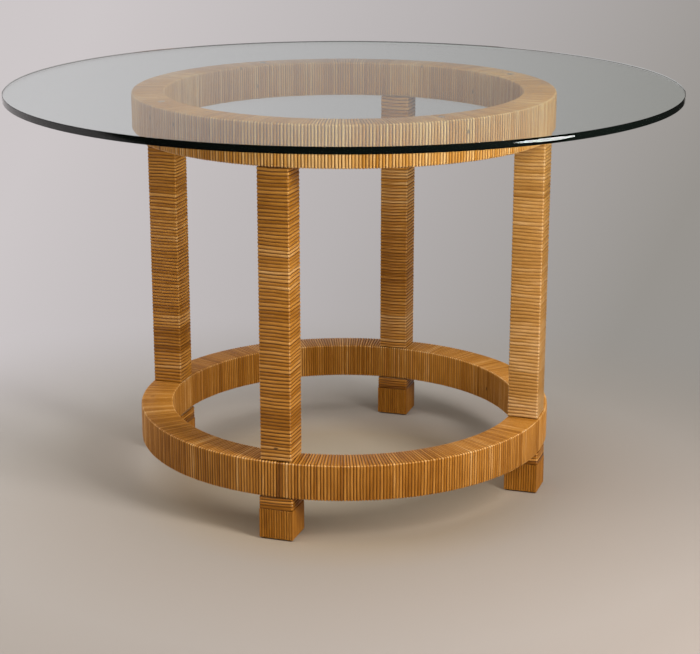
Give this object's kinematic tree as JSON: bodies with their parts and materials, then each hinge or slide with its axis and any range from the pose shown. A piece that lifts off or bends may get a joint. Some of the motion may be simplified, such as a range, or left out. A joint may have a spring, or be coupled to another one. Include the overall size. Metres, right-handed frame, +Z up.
{
  "type": "round glass-topped table",
  "caption": "Round glass table top lying loose on two rattan-wound rings joined by square rattan-wound posts on short square feet.",
  "frame": {"origin": "on the floor under the centre of the table", "axes": "+Z up along the table's own axis; one post stands on each of +X, +Y, -X and -Y"},
  "size_m": [1.219, 1.219, 0.7352],
  "materials": {
    "glass": "clear, polished edge",
    "reed": "lacquered split rattan, satin",
    "core": "bare sawn hardwood",
    "steel": "zinc plated",
    "glide": "matte nylon",
    "pad": "clear soft vinyl"
  },
  "bodies": {
    "base": {"upper_ring_wrap": "reed", "lower_ring_wrap": "reed", "upper_ring_segment_1": "core", "upper_ring_segment_2": "core", "upper_ring_segment_3": "core", "upper_ring_segment_4": "core", "lower_ring_segment_1": "core", "lower_ring_segment_2": "core", "lower_ring_segment_3": "core", "lower_ring_segment_4": "core", "post_core_1": "core", "post_core_2": "core", "post_core_3": "core", "post_core_4": "core", "post_wrap_1": "reed", "post_wrap_2": "reed", "post_wrap_3": "reed", "post_wrap_4": "reed", "neck_wrap_1": "reed", "neck_wrap_2": "reed", "neck_wrap_3": "reed", "neck_wrap_4": "reed", "foot_core_1": "core", "foot_core_2": "core", "foot_core_3": "core", "foot_core_4": "core", "foot_wrap_1": "reed", "foot_wrap_2": "reed", "foot_wrap_3": "reed", "foot_wrap_4": "reed", "foot_bolt_1": "steel", "foot_bolt_2": "steel", "foot_bolt_3": "steel", "foot_bolt_4": "steel", "foot_washer_1": "steel", "foot_washer_2": "steel", "foot_washer_3": "steel", "foot_washer_4": "steel", "floor_glide_1": "glide", "floor_glide_2": "glide", "floor_glide_3": "glide", "floor_glide_4": "glide", "glass_pad_1": "pad", "glass_pad_2": "pad", "glass_pad_3": "pad", "glass_pad_4": "pad"},
    "glass": {"glass_top": "glass"}
  },
  "joints": [
    {"name": "glass_lift", "type": "slide", "parent": "base", "child": "glass", "axis": [0, 0, 1], "range_m": [0, 0.1]}
  ]
}
